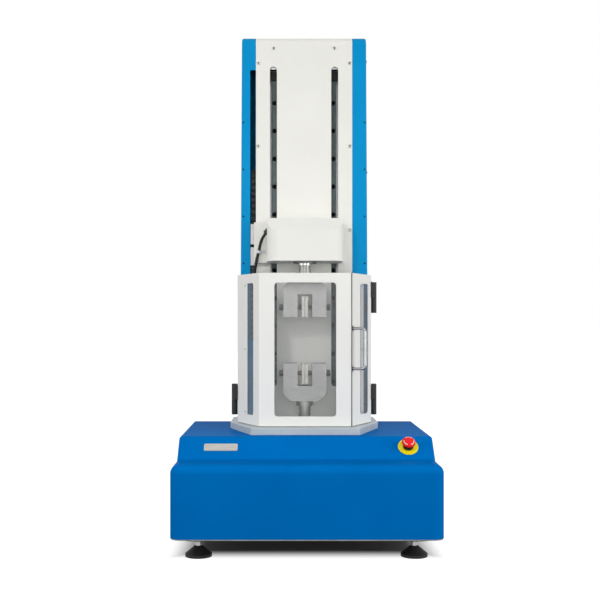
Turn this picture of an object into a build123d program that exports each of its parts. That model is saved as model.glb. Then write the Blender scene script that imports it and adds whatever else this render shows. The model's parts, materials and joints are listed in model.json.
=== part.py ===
from build123d import *
import math
import os

# Universal testing machine: a floor base on levelling feet, a column with two guide rails and
# a ball screw, a crosshead with a load cell, two vice grips and a hinged guard.
# Millimetres. The origin is on the floor under the middle of the base.
# +X is the user's right, -Y is towards the user and +Z is up.

os.makedirs("parts", exist_ok=True)

# Fits
slip = 0.3              # faces that pass each other
running = 0.05          # radial clearance of a shaft in its bore
seam = 0.5              # gap between two covers

# Base
base_width = 747.0
base_depth = 640.0
base_corner = 30.0
shell_wall = 3.0
ledge_level = 267.0
ledge_depth = 120.0
ledge_round = 24.0
riser_run = 62.0
deck_level = 325.0
deck_inset = 8.0
deck_round = 8.0
base_plate_thickness = 3.0
base_plate_inset = 1.0
underframe_thickness = 8.0
underframe_bottom = 56.0
underframe_width = 690.0
underframe_depth = 580.0
underframe_rim = 110.0

# Levelling feet
foot_inset = 71.5
foot_y = 220.0
pad_radius = 37.5
pad_height = 30.0
pad_rim = 8.0
pad_neck_radius = 10.5
stud_radius = 6.0
stud_sink = 12.0
stud_top = 80.0
lock_nut_width = 17.0
frame_nut_width = 19.0
nut_height = 10.0

# Frame inside the base
post_size = 40.0
post_x = 200.0
post_front_y = -10.0
post_rear_y = 240.0
top_plate_thickness = 12.0
top_plate_half_width = 228.0
shelf_level = 196.0
shelf_thickness = 8.0

# Table plate on the deck
table_thickness = 20.0
table_front_y = -101.0
table_front_half = 160.0
table_corner_y = 90.0
table_half_width = 230.0
table_rear_corner_y = 250.0
table_rear_y = 311.0
table_edge = 1.5

# Column covers
column_top = 1555.0
column_front_y = 110.0
column_rear_y = 297.0
panel_half_width = 151.5
cover_thickness = 2.0
cover_half_bottom = 202.0
cover_half_top = 195.5
cover_bend = 28.0
cover_edge_round = 5.0
rear_cover_thickness = 3.0
slot_x = 96.5
slot_width = 22.0
slot_bottom = 454.0
slot_head = 95.0
notch_width = 17.5
notch_bottom = 600.0
notch_head = 106.0

# Spine, rails and ball screw
spine_half_width = 138.0
spine_front_y = 160.0
spine_depth = 100.0
spine_head = 55.0
trough_half_width = 60.0
trough_depth = 85.0
spine_web = 14.0
rear_pocket_depth = 72.0
rail_x = 93.0
rail_width = 20.0
rail_height = 17.5
rail_bottom = 440.0
rail_head = 79.0
rail_waist = 2.0
rail_bolt_pitch = 88.6
rail_first_bolt = 26.7
rail_bore_radius = 7.5
rail_bore_depth = 8.0
carriage_width = 60.0
carriage_height = 30.0
carriage_lift = 3.0
carriage_length = 56.0
screw_radius = 12.5
screw_y = 162.0
screw_head = 67.0
journal_radius = 9.0
shaft_hole_radius = 22.0
bearing_width = 90.0
bearing_front_reach = 24.0
bearing_height = 40.0
upper_bearing_head = 115.0
lower_bearing_lift = 3.0

# Drive
pulley_level = 216.0
belt_width = 25.0
belt_thickness = 2.5
screw_pulley_radius = 45.0
motor_pulley_radius = 22.5
pulley_flange = 2.5
pulley_lip = 4.5
motor_y = 40.0
motor_width = 86.0
motor_length = 108.0
motor_step = 8.0
motor_cap_length = 22.0
motor_shaft_radius = 8.0
motor_shaft_engage = 24.0

# Crosshead, at its rest height
crosshead_bottom = 841.0
crosshead_height = 126.0
hood_drop = 2.0
hood_rise = 4.0
hood_half_width = 114.5
hood_front_y = -50.0
hood_corner = 37.0
hood_slope_drop = 40.0
hood_slope_run = 48.0
hood_wall = 3.0
cell_opening_radius = 37.5
back_plate_front_y = 84.0
back_plate_thickness = 20.0
back_plate_left = -156.5
back_plate_right = 125.0
arm_width = 18.0
arm_margin = 6.0
carriage_plate_thickness = 14.0
carriage_plate_half_width = 130.0
nut_radius = 20.0
nut_length = 74.0
nut_flange_radius = 31.0
nut_flange_thickness = 10.0
nut_housing_half_width = 34.0
nut_housing_height = 58.0
beam_half_width = 80.0
beam_front_y = -30.0
beam_bottom = 890.0
beam_height = 44.0
cell_radius = 34.0
cell_bottom = 845.0
cell_hub_radius = 20.5
cell_hub_bottom = 828.0

# Grips, on the load axis
axis_y = 15.0
grip_half_width = 65.0
grip_height = 114.0
grip_depth = 64.0
grip_cut = 22.0
grip_mouth = 44.0
grip_mouth_depth = 68.0
upper_grip_mouth = 671.0
lower_grip_mouth = 531.0
jaw_thickness = 9.0
jaw_height = 62.0
jaw_gap = 1.0
jaw_seat_depth = 3.0
clamp_offset = 30.0
clamp_radius = 6.0
clamp_head_width = 19.0
clamp_head_length = 12.5
clamp_pad_radius = 8.0
clamp_pad_length = 4.0
neck_radius = 13.0
neck_bottom = 815.0
stem_radius = 18.0
stem_groove_radius = 16.5
stem_groove_level = 383.0
stem_groove_width = 4.0
stem_pin_radius = 4.0
stem_pin_level = 372.0
stem_pin_reach = 3.0
lock_ring_radius = 25.5
lock_ring_height = 15.0
lock_ring_slot_width = 5.0
lock_ring_slot_depth = 4.0

# Guard round the test space
guard_bottom = 347.0
guard_top = 801.5
guard_front_y = -69.0
guard_front_half = 137.0
guard_rear_half = 207.0
guard_rear_y = 69.0
guard_return = 35.0
guard_sheet = 2.5
guard_seam = 3.0
window_bottom = 376.0
window_top = 773.0
window_corner = 10.0
front_window_width = 183.0
left_window_start = 40.0
left_window_width = 73.0
right_window_start = 68.0
right_window_width = 63.0
pane_thickness = 3.0
pane_margin = 8.0

# Hinges and handle
hinge_x = 218.5
hinge_y = 106.0
hinge_barrel_radius = 9.0
hinge_pin_radius = 4.0
hinge_half = 48.0
hinge_lower_level = 366.5
hinge_upper_level = 685.0
hinge_leaf = 3.0
hinge_leaf_length = 30.0
hinge_leaf_gap = 11.0
handle_level = 517.0
handle_spacing = 120.0
handle_reach = 40.0
handle_radius = 4.25
handle_bend = 12.0
handle_start = 9.0
handle_foot_radius = 8.0
handle_foot_height = 2.0

# Emergency stop on the riser
stop_inset = 81.5
stop_share = 0.54
stop_ring_radius = 29.0
stop_ring_thickness = 1.5
stop_hole_radius = 11.25
stop_body_radius = 11.0
stop_bezel_radius = 15.0
stop_bezel_height = 7.0
stop_block = 30.0
stop_block_depth = 38.0
stop_block_level = -10.0
stop_plunger_radius = 6.0
stop_plunger_bottom = -8.0
stop_travel = 4.0
stop_cap_radius = 19.5
stop_cap_level = 12.0
stop_cap_height = 15.0
stop_cap_round = 6.0
stop_cap_bore = 8.0

# Energy chain and load cell cable
chain_left = -168.5
chain_right = -156.5
chain_thickness = 16.0
chain_front_y = 130.0
chain_bend_radius = 25.0
chain_pitch = 17.5
chain_link_gap = 2.0
chain_core_share = 0.6
chain_bend_level = 600.0
chain_straight = 40.0
chain_head = 408.0
bracket_left = -168.0
bracket_right = -120.0
bracket_sheet = 3.0
bracket_drop = 7.0
bracket_slit_level = 891.0
bracket_slit_height = 9.0
cable_radius = 4.5
cable_route = [
    (-110.6, 46.2, 940.2),
    (-127.0, 54.0, 922.0),
    (-136.0, 66.5, 901.0),
    (-141.0, 77.0, 878.0),
    (-147.0, 77.5, 856.0),
    (-151.0, 78.5, 834.0),
    (-154.0, 86.0, 813.0),
    (-157.0, 98.0, 795.0),
    (-160.0, 113.0, 779.0),
    (-162.0, 125.0, 764.0),
]
cable_bore_radius = 4.8
gland_radius = 8.5
gland_length = 15.0
clip_at = 0.385
clip_band = 1.5
clip_width = 9.0
clip_lug_right = -120.0

# Opening for the power inlet in the rear wall
inlet_x = 230.0
inlet_level = 130.0
inlet_width = 50.0
inlet_height = 28.0

# Values worked out from the sizes above
base_plate_bottom = underframe_bottom + underframe_thickness
shell_bottom = base_plate_bottom + base_plate_thickness
base_front_y = -base_depth / 2
base_rear_y = base_depth / 2
riser_foot_y = base_front_y + ledge_depth
riser_angle = math.atan2(deck_level - ledge_level, riser_run)
deck_half_width = base_width / 2 - deck_inset
deck_rear_y = base_rear_y - deck_inset
deck_underside = deck_level - shell_wall
top_plate_bottom = deck_underside - top_plate_thickness
table_top = deck_level + table_thickness
cover_inner = panel_half_width + seam
rail_front_y = spine_front_y - rail_height
carriage_front_y = spine_front_y - carriage_height
carriage_plate_front_y = carriage_front_y - carriage_plate_thickness
trough_floor_y = spine_front_y + trough_depth
back_plate_rear_y = back_plate_front_y + back_plate_thickness
crosshead_top = crosshead_bottom + crosshead_height
hood_bottom = crosshead_bottom - hood_drop
hood_top = crosshead_top + hood_rise
upper_grip_closed = upper_grip_mouth + grip_height
lower_grip_closed = lower_grip_mouth - grip_height
belt_top = pulley_level + belt_width
lower_bearing_level = table_top + lower_bearing_lift
upper_bearing_level = column_top - upper_bearing_head
slot_top = column_top - slot_head
notch_top = column_top - notch_head
spine_top = column_top - spine_head
rail_top = column_top - rail_head
screw_top = column_top - screw_head
chain_top = column_top - chain_head
chain_meeting = chain_bend_level + chain_straight
foot_x = base_width / 2 - foot_inset
stop_x = base_width / 2 - stop_inset


def write(piece, name):
    """Writes one named piece."""
    piece.part.label = name
    export_step(piece.part, f"parts/{name}.step")


def block(x, y, z, mode=Mode.ADD):
    """A rectangular block between two values of X, of Y and of Z."""
    with Locations(((x[0] + x[1]) / 2, (y[0] + y[1]) / 2, (z[0] + z[1]) / 2)):
        Box(abs(x[1] - x[0]), y[1] - y[0], z[1] - z[0], mode=mode)


def rod(centre, radius, z, mode=Mode.ADD):
    """An upright cylinder between two levels."""
    with Locations((centre[0], centre[1], (z[0] + z[1]) / 2)):
        Cylinder(radius, z[1] - z[0], mode=mode)


def facing(y):
    """The upright plane at y, seen by the user."""
    return Plane.XZ.offset(-y)


# Base shell: a low body with rounded edges, and a deck behind a sloping riser
stop_plane = Plane(
    origin=(
        stop_x,
        riser_foot_y + stop_share * riser_run,
        ledge_level + stop_share * (deck_level - ledge_level),
    ),
    x_dir=(1, 0, 0),
    z_dir=(0, -math.sin(riser_angle), math.cos(riser_angle)),
)


def base_body(wall):
    """The base as a solid that is smaller by wall all round."""
    rise = math.tan(riser_angle)
    ledge = ledge_level - wall
    deck = deck_level - wall
    foot_y = riser_foot_y + (wall / math.cos(riser_angle) - wall) / rise
    crest_y = foot_y + (deck - ledge) / rise
    with BuildPart() as body:
        with BuildSketch(Plane.XY.offset(shell_bottom)):
            RectangleRounded(base_width - 2 * wall, base_depth - 2 * wall, base_corner - wall)
        extrude(amount=ledge - shell_bottom)
        fillet(body.edges().group_by(Axis.Z)[-1], ledge_round - wall)
        with BuildSketch(Plane.YZ):
            with BuildLine():
                Polyline(
                    (foot_y, shell_bottom + wall),
                    (foot_y, ledge),
                    (crest_y, deck),
                    (deck_rear_y - wall, deck),
                    (deck_rear_y - wall, shell_bottom + wall),
                    close=True,
                )
            make_face()
        extrude(amount=deck_half_width - wall, both=True)
        upper_edges = body.edges().filter_by(lambda edge: edge.center().Z > ledge + 1)
        fillet(upper_edges, deck_round - wall)
    return body.part


with BuildPart() as base_shell:
    add(base_body(0))
    add(base_body(shell_wall), mode=Mode.SUBTRACT)
    rod((0, screw_y), shaft_hole_radius, (deck_underside - 1, deck_level + 1), Mode.SUBTRACT)
    with BuildSketch(stop_plane):
        Circle(stop_hole_radius)
    extrude(amount=2 * shell_wall, both=True, mode=Mode.SUBTRACT)
    block(
        (inlet_x - inlet_width / 2, inlet_x + inlet_width / 2),
        (base_rear_y - 2 * shell_wall, base_rear_y + 1),
        (inlet_level - inlet_height / 2, inlet_level + inlet_height / 2),
        Mode.SUBTRACT,
    )
write(base_shell, "base_shell")

# Bright plate that closes the shell, and the black underframe below it
foot_places = [(x, y) for x in (-foot_x, foot_x) for y in (-foot_y, foot_y)]

with BuildPart() as base_plate:
    with BuildSketch(Plane.XY.offset(base_plate_bottom)):
        RectangleRounded(
            base_width - 2 * base_plate_inset,
            base_depth - 2 * base_plate_inset,
            base_corner - base_plate_inset,
        )
        with Locations(foot_places):
            Circle(stud_radius + running, mode=Mode.SUBTRACT)
    extrude(amount=base_plate_thickness)
write(base_plate, "base_plate")

with BuildPart() as underframe:
    with BuildSketch(Plane.XY.offset(underframe_bottom)):
        RectangleRounded(underframe_width, underframe_depth, base_corner)
        RectangleRounded(
            underframe_width - 2 * underframe_rim,
            underframe_depth - 2 * underframe_rim,
            base_corner,
            mode=Mode.SUBTRACT,
        )
        with Locations(foot_places):
            Circle(stud_radius + running, mode=Mode.SUBTRACT)
    extrude(amount=underframe_thickness)
write(underframe, "underframe")

# Levelling feet: rubber pads, studs, and on each stud a lock nut and a nut under the frame
with BuildPart() as single_pad:
    with BuildSketch(Plane.XZ):
        with BuildLine():
            Polyline(
                (0, 0),
                (pad_radius, 0),
                (pad_radius, pad_rim),
                (pad_neck_radius, pad_height),
                (stud_radius + running, pad_height),
                (stud_radius + running, pad_height - stud_sink),
                (0, pad_height - stud_sink),
                close=True,
            )
        make_face()
    revolve(axis=Axis.Z)

with BuildPart() as foot_pads:
    with Locations(*[(x, y, 0) for x, y in foot_places]):
        add(single_pad.part)
write(foot_pads, "foot_pads")

with BuildPart() as foot_studs:
    for centre in foot_places:
        rod(centre, stud_radius, (pad_height - stud_sink, stud_top))
write(foot_studs, "foot_studs")

with BuildPart() as foot_nuts:
    for level, width in (
        (pad_height, lock_nut_width),
        (underframe_bottom - nut_height, frame_nut_width),
    ):
        with BuildSketch(Plane.XY.offset(level)):
            with Locations(foot_places):
                RegularPolygon(width / 2, 6, major_radius=False)
                Circle(stud_radius + running, mode=Mode.SUBTRACT)
        extrude(amount=nut_height)
write(foot_nuts, "foot_nuts")

# Welded frame inside the base: four posts, the plate under the deck and the drive shelf
with BuildPart() as inner_frame:
    for x in (-post_x, post_x):
        for y in (post_front_y, post_rear_y):
            block(
                (x - post_size / 2, x + post_size / 2),
                (y - post_size / 2, y + post_size / 2),
                (shell_bottom, top_plate_bottom),
            )
    block(
        (-top_plate_half_width, top_plate_half_width),
        (table_front_y, base_rear_y - 4 * deck_inset),
        (top_plate_bottom, deck_underside),
    )
    block(
        (-post_x, post_x),
        (post_front_y - post_size / 2, post_rear_y + post_size / 2),
        (shelf_level, shelf_level + shelf_thickness),
    )
    rod((0, screw_y), shaft_hole_radius, (top_plate_bottom, deck_underside), Mode.SUBTRACT)
    rod((0, motor_y), shaft_hole_radius, (shelf_level, shelf_level + shelf_thickness), Mode.SUBTRACT)
write(inner_frame, "inner_frame")

# Drive: a motor under the shelf, two flanged pulleys and the belt between them
with BuildPart() as drive_motor:
    for width, z in (
        (motor_width - motor_step, (shelf_level - motor_length, shelf_level - motor_cap_length)),
        (motor_width, (shelf_level - motor_cap_length, shelf_level)),
    ):
        block((-width / 2, width / 2), (motor_y - width / 2, motor_y + width / 2), z)
    rod(
        (0, motor_y),
        motor_shaft_radius + running,
        (shelf_level - motor_shaft_engage, shelf_level),
        Mode.SUBTRACT,
    )
write(drive_motor, "drive_motor")


def pulley_rim(centre_y, radius):
    """A belt pulley with its two flanges, added to the current piece."""
    rod((0, centre_y), radius, (pulley_level - pulley_flange, belt_top + pulley_flange))
    for level in (pulley_level - pulley_flange, belt_top + slip):
        rod((0, centre_y), radius + pulley_lip, (level, level + pulley_flange - slip))


with BuildPart() as screw_pulley:
    pulley_rim(screw_y, screw_pulley_radius)
    rod(
        (0, screw_y),
        journal_radius + running,
        (pulley_level - 2 * pulley_flange, belt_top + 2 * pulley_flange),
        Mode.SUBTRACT,
    )
write(screw_pulley, "screw_pulley")

with BuildPart() as motor_pulley:
    pulley_rim(motor_y, motor_pulley_radius)
    rod((0, motor_y), motor_shaft_radius, (shelf_level - motor_shaft_engage + slip, belt_top))
write(motor_pulley, "motor_pulley")

with BuildPart() as drive_belt:
    for reach, mode in ((slip + belt_thickness, Mode.ADD), (slip, Mode.SUBTRACT)):
        with BuildSketch(Plane.XY.offset(pulley_level)):
            with Locations((0, screw_y)):
                Circle(screw_pulley_radius + reach)
            with Locations((0, motor_y)):
                Circle(motor_pulley_radius + reach)
            make_hull()
        extrude(amount=belt_width, mode=mode)
write(drive_belt, "drive_belt")

# Table plate: the machined plate that carries the column, the lower grip and the guard
with BuildPart() as table_plate:
    with BuildSketch(Plane.XY.offset(deck_level)):
        with BuildLine():
            Polyline(
                (-table_front_half, table_front_y),
                (table_front_half, table_front_y),
                (table_half_width, table_corner_y),
                (table_half_width, table_rear_corner_y),
                (table_front_half, table_rear_y),
                (-table_front_half, table_rear_y),
                (-table_half_width, table_rear_corner_y),
                (-table_half_width, table_corner_y),
                close=True,
            )
        make_face()
    extrude(amount=table_thickness)
    chamfer(table_plate.edges().group_by(Axis.Z)[-1], table_edge)
    rod((0, screw_y), shaft_hole_radius, (deck_level, table_top), Mode.SUBTRACT)
write(table_plate, "table_plate")

# Column spine: two legs joined behind the screw, hollowed from the rear
pocket_centre = (spine_half_width + trough_half_width) / 2
pocket_width = spine_half_width - trough_half_width - 2 * spine_web

with BuildPart() as column_spine:
    with BuildSketch(Plane.XY.offset(table_top)):
        with Locations((0, spine_front_y + spine_depth / 2)):
            Rectangle(2 * spine_half_width, spine_depth)
        with Locations((0, spine_front_y + trough_depth / 2)):
            Rectangle(2 * trough_half_width, trough_depth, mode=Mode.SUBTRACT)
        rear_y = spine_front_y + spine_depth
        with Locations((-pocket_centre, rear_y), (pocket_centre, rear_y)):
            Rectangle(pocket_width, 2 * rear_pocket_depth, mode=Mode.SUBTRACT)
    extrude(amount=spine_top - table_top)
write(column_spine, "column_spine")

# Guide rails: waisted bars with counterbored holes, one behind each slot of the front cover
bolt_count = int((rail_top - rail_bottom - rail_first_bolt) / rail_bolt_pitch) + 1
bolt_levels = [rail_bottom + rail_first_bolt + i * rail_bolt_pitch for i in range(bolt_count)]

with BuildPart() as guide_rails:
    with BuildSketch(Plane.XY.offset(rail_bottom)):
        for x in (-rail_x, rail_x):
            with Locations((x, spine_front_y - rail_height / 2)):
                Rectangle(rail_width, rail_height)
            with Locations(
                (x - rail_width / 2, spine_front_y - rail_height / 2),
                (x + rail_width / 2, spine_front_y - rail_height / 2),
            ):
                Rectangle(2 * rail_waist, rail_height / 3, mode=Mode.SUBTRACT)
    extrude(amount=rail_top - rail_bottom)
    with BuildSketch(facing(rail_front_y)):
        with Locations(*[(x, level) for x in (-rail_x, rail_x) for level in bolt_levels]):
            Circle(rail_bore_radius)
    extrude(amount=-rail_bore_depth, mode=Mode.SUBTRACT)
write(guide_rails, "guide_rails")

# Ball screw with its journals, and the two bearing blocks in the trough
with BuildPart() as ball_screw:
    rod((0, screw_y), journal_radius, (pulley_level - pulley_flange, screw_top))
    rod(
        (0, screw_y),
        screw_radius,
        (lower_bearing_level + bearing_height + slip, upper_bearing_level - slip),
    )
write(ball_screw, "ball_screw")

with BuildPart() as bearing_blocks:
    for level in (lower_bearing_level, upper_bearing_level):
        block(
            (-bearing_width / 2, bearing_width / 2),
            (screw_y - bearing_front_reach, trough_floor_y),
            (level, level + bearing_height),
        )
    rod((0, screw_y), journal_radius + running, (lower_bearing_level, screw_top), Mode.SUBTRACT)
write(bearing_blocks, "bearing_blocks")


# Column covers
def column_block(x_bottom, x_top, y, z, bend):
    """A block whose sides may lean, with a rounded top front edge."""
    with BuildPart() as body:
        with BuildSketch(facing(y[0])):
            with BuildLine():
                Polyline(
                    (x_bottom[0], z[0]),
                    (x_bottom[1], z[0]),
                    (x_top[1], z[1]),
                    (x_top[0], z[1]),
                    close=True,
                )
            make_face()
        extrude(amount=y[0] - y[1])
        fillet(body.edges().filter_by(Axis.X).group_by(Axis.Z)[-1].sort_by(Axis.Y)[0], bend)
    return body.part


# Front cover: one white sheet with two long slots, bent back over the top of the column
panel_x = (-panel_half_width, panel_half_width)
panel_inner_x = (-panel_half_width - 1, panel_half_width + 1)

with BuildPart() as front_cover:
    add(column_block(panel_x, panel_x, (column_front_y, column_rear_y), (table_top, column_top), cover_bend))
    add(
        column_block(
            panel_inner_x,
            panel_inner_x,
            (column_front_y + cover_thickness, column_rear_y + 1),
            (table_top - 1, column_top - cover_thickness),
            cover_bend - cover_thickness,
        ),
        mode=Mode.SUBTRACT,
    )
    with BuildSketch(facing(column_front_y - 1)):
        with Locations((-slot_x, (slot_bottom + slot_top) / 2), (slot_x, (slot_bottom + slot_top) / 2)):
            SlotOverall(slot_top - slot_bottom, slot_width, rotation=90)
    extrude(amount=-cover_thickness - 2, mode=Mode.SUBTRACT)
write(front_cover, "front_cover")


def side_cover(side):
    """A blue side cover as a shell, open to the spine and to the rear."""
    bottom = sorted((side * cover_inner, side * cover_half_bottom))
    top = sorted((side * cover_inner, side * cover_half_top))
    inner_bottom = sorted((side * (cover_inner - 1), side * (cover_half_bottom - cover_thickness)))
    inner_top = sorted((side * (cover_inner - 1), side * (cover_half_top - cover_thickness)))
    with BuildPart() as cover:
        add(column_block(bottom, top, (column_front_y, column_rear_y), (table_top, column_top), cover_bend))
        outer = cover.faces().sort_by(Axis.X)[-1 if side > 0 else 0]
        rear = outer.edges().sort_by(Axis.Y)[-1]
        foot = outer.edges().sort_by(Axis.Z)[0]
        fillet([edge for edge in outer.edges() if edge not in (rear, foot)], cover_edge_round)
        add(
            column_block(
                inner_bottom,
                inner_top,
                (column_front_y + cover_thickness, column_rear_y + 1),
                (table_top - 1, column_top - cover_thickness),
                cover_bend - cover_thickness,
            ),
            mode=Mode.SUBTRACT,
        )
    return cover


side_cover_right = side_cover(1)
write(side_cover_right, "side_cover_right")

with BuildPart() as side_cover_left:
    add(side_cover(-1).part)
    block(
        (-cover_inner - notch_width, 1 - cover_inner),
        (column_front_y - 1, column_front_y + cover_thickness + 1),
        (notch_bottom, notch_top),
        Mode.SUBTRACT,
    )
write(side_cover_left, "side_cover_left")

with BuildPart() as rear_cover:
    with BuildSketch(facing(column_rear_y)):
        with BuildLine():
            Polyline(
                (-cover_half_bottom, table_top),
                (cover_half_bottom, table_top),
                (cover_half_top, column_top),
                (-cover_half_top, column_top),
                close=True,
            )
        make_face()
    extrude(amount=-rear_cover_thickness)
write(rear_cover, "rear_cover")

# Crosshead: back plate with its beam, and the carriage plate with two arms through the slots
crosshead_z = (crosshead_bottom, crosshead_top)

with BuildPart() as crosshead_plate:
    block((back_plate_left, back_plate_right), (back_plate_front_y, back_plate_rear_y), crosshead_z)
    block(
        (-beam_half_width, beam_half_width),
        (beam_front_y, back_plate_front_y),
        (beam_bottom, beam_bottom + beam_height),
    )
write(crosshead_plate, "crosshead_plate")

with BuildPart() as carriage_plate:
    block(
        (-carriage_plate_half_width, carriage_plate_half_width),
        (carriage_plate_front_y, carriage_front_y),
        crosshead_z,
    )
    for x in (-slot_x, slot_x):
        block(
            (x - arm_width / 2, x + arm_width / 2),
            (back_plate_rear_y, carriage_plate_front_y),
            (crosshead_bottom + arm_margin, crosshead_top - arm_margin),
        )
write(carriage_plate, "carriage_plate")

with BuildPart() as guide_carriages:
    for level in (crosshead_bottom, crosshead_top - carriage_length):
        with BuildSketch(Plane.XY.offset(level)):
            for x in (-rail_x, rail_x):
                with Locations((x, (carriage_front_y + spine_front_y - carriage_lift) / 2)):
                    Rectangle(carriage_width, carriage_height - carriage_lift)
                with Locations((x, spine_front_y - rail_height / 2 - slip / 2)):
                    Rectangle(rail_width + 2 * slip, rail_height + slip, mode=Mode.SUBTRACT)
        extrude(amount=carriage_length)
write(guide_carriages, "guide_carriages")

nut_middle = (crosshead_bottom + crosshead_top) / 2
nut_housing_z = (nut_middle - nut_housing_height / 2, nut_middle + nut_housing_height / 2)
nut_bottom = nut_housing_z[0] - nut_flange_thickness

with BuildPart() as nut_housing:
    block(
        (-nut_housing_half_width, nut_housing_half_width),
        (carriage_front_y, screw_y + nut_housing_half_width),
        nut_housing_z,
    )
    rod((0, screw_y), nut_radius + running, nut_housing_z, Mode.SUBTRACT)
write(nut_housing, "nut_housing")

with BuildPart() as ball_nut:
    rod((0, screw_y), nut_radius, (nut_bottom, nut_bottom + nut_length))
    rod((0, screw_y), nut_flange_radius, (nut_bottom, nut_housing_z[0]))
    rod((0, screw_y), screw_radius + running, (nut_bottom, nut_bottom + nut_length), Mode.SUBTRACT)
write(ball_nut, "ball_nut")


cable_exit = Plane(
    origin=cable_route[0],
    z_dir=[end - start for start, end in zip(cable_route[0], cable_route[1])],
)


def hood(wall, rear_y):
    """The crosshead cover as a solid with a sloping brow, smaller by wall."""
    slope = hood_slope_drop / hood_slope_run
    lift = wall * math.hypot(1, slope)
    depth = rear_y - hood_front_y - wall
    cut_y = (hood_front_y - 1, hood_front_y + 2 * hood_slope_run)
    cut_z = [hood_top - hood_slope_drop + (y - hood_front_y) * slope - lift for y in cut_y]
    with BuildPart() as body:
        with BuildSketch(Plane.XY.offset(hood_bottom + wall)):
            with Locations((0, rear_y - depth / 2)):
                Rectangle(2 * (hood_half_width - wall), depth)
        extrude(amount=hood_top - hood_bottom - 2 * wall)
        fillet(body.edges().filter_by(Axis.Z).group_by(Axis.Y)[0], hood_corner - wall)
        with BuildSketch(Plane.YZ):
            with BuildLine():
                Polyline(
                    (cut_y[0], cut_z[0]),
                    (cut_y[1], cut_z[1]),
                    (cut_y[0], cut_z[1]),
                    close=True,
                )
            make_face()
        extrude(amount=hood_half_width, both=True, mode=Mode.SUBTRACT)
    return body.part


with BuildPart() as crosshead_cover:
    add(hood(0, back_plate_front_y))
    add(hood(hood_wall, back_plate_front_y + 1), mode=Mode.SUBTRACT)
    rod((0, axis_y), cell_opening_radius, (hood_bottom - 1, hood_bottom + hood_wall + 1), Mode.SUBTRACT)
    with BuildSketch(cable_exit.offset(-gland_length)):
        Circle(cable_bore_radius)
    extrude(amount=2 * gland_length, mode=Mode.SUBTRACT)
write(crosshead_cover, "crosshead_cover")

# Gland that leads the cable of the load cell through the left side of the cover
with BuildPart() as cable_gland:
    with BuildSketch(cable_exit):
        Circle(gland_radius)
        Circle(cable_bore_radius, mode=Mode.SUBTRACT)
    extrude(amount=gland_length)
    block(
        (-hood_half_width, 0),
        (hood_front_y, back_plate_front_y),
        (hood_bottom, hood_top + gland_length),
        Mode.SUBTRACT,
    )
write(cable_gland, "cable_gland")

# Load train: load cell under the beam, upper stem and ring, lower stem, pin and ring
with BuildPart() as load_cell:
    rod((0, axis_y), cell_radius, (cell_bottom, beam_bottom))
    rod((0, axis_y), cell_hub_radius, (cell_hub_bottom, cell_bottom))
write(load_cell, "load_cell")

with BuildPart() as upper_stem:
    rod((0, axis_y), neck_radius, (neck_bottom, cell_hub_bottom))
    rod((0, axis_y), stem_radius, (upper_grip_closed, neck_bottom))
write(upper_stem, "upper_stem")

with BuildPart() as lower_stem:
    rod((0, axis_y), stem_radius, (table_top, lower_grip_closed))
    with BuildSketch(Plane.XY.offset(stem_groove_level - stem_groove_width / 2)):
        with Locations((0, axis_y)):
            Circle(stem_radius)
            Circle(stem_groove_radius, mode=Mode.SUBTRACT)
    extrude(amount=stem_groove_width, mode=Mode.SUBTRACT)
    with BuildSketch(Plane.YZ.offset(-stem_radius)):
        with Locations((axis_y, stem_pin_level)):
            Circle(stem_pin_radius + running)
    extrude(amount=2 * stem_radius, mode=Mode.SUBTRACT)
write(lower_stem, "lower_stem")

with BuildPart() as stem_pin:
    with BuildSketch(Plane.YZ.offset(-stem_radius - stem_pin_reach)):
        with Locations((axis_y, stem_pin_level)):
            Circle(stem_pin_radius)
    extrude(amount=2 * (stem_radius + stem_pin_reach))
write(stem_pin, "stem_pin")


def lock_ring(level):
    """A ring nut with four spanner slots."""
    with BuildPart() as ring:
        with BuildSketch(Plane.XY.offset(level)):
            with Locations((0, axis_y)):
                Circle(lock_ring_radius)
                Circle(stem_radius + running, mode=Mode.SUBTRACT)
                with PolarLocations(lock_ring_radius, 4, start_angle=45):
                    Rectangle(2 * lock_ring_slot_depth, lock_ring_slot_width, mode=Mode.SUBTRACT)
        extrude(amount=lock_ring_height)
    return ring


write(lock_ring(lower_grip_closed - lock_ring_height), "lower_lock_ring")
write(lock_ring(upper_grip_closed), "upper_lock_ring")

# Grips: inward is 1 where the closed end lies above the mouth, and -1 where it lies below
grip_front_y = axis_y - grip_depth / 2
jaw_back = jaw_gap / 2 + jaw_thickness


def grip_body(mouth, inward):
    """A vice grip body: a plate with two cut corners, a square mouth and a bore in each side."""
    closed = mouth + inward * grip_height
    with BuildPart() as body:
        with BuildSketch(facing(grip_front_y)):
            with BuildLine():
                Polyline(
                    (-grip_half_width, mouth),
                    (-grip_half_width, closed - inward * grip_cut),
                    (grip_cut - grip_half_width, closed),
                    (grip_half_width - grip_cut, closed),
                    (grip_half_width, closed - inward * grip_cut),
                    (grip_half_width, mouth),
                    (grip_mouth / 2, mouth),
                    (grip_mouth / 2, mouth + inward * grip_mouth_depth),
                    (-grip_mouth / 2, mouth + inward * grip_mouth_depth),
                    (-grip_mouth / 2, mouth),
                    close=True,
                )
            make_face()
        extrude(amount=-grip_depth)
        with BuildSketch(Plane.YZ.offset(-grip_half_width)):
            with Locations((axis_y, mouth + inward * clamp_offset)):
                Circle(clamp_radius + running)
        extrude(amount=2 * grip_half_width, mode=Mode.SUBTRACT)
    return body


def grip_jaw(mouth, inward, side):
    """One jaw, with a round seat in its back for the tip of the clamping screw."""
    with BuildPart() as jaw:
        block(
            sorted((side * jaw_gap / 2, side * jaw_back)),
            (grip_front_y + slip, grip_front_y + grip_depth - slip),
            sorted((mouth + inward * slip, mouth + inward * jaw_height)),
        )
        with BuildSketch(Plane.YZ.offset(side * jaw_back)):
            with Locations((axis_y, mouth + inward * clamp_offset)):
                Circle(clamp_radius + running)
        extrude(amount=-side * jaw_seat_depth, mode=Mode.SUBTRACT)
    return jaw


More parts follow.
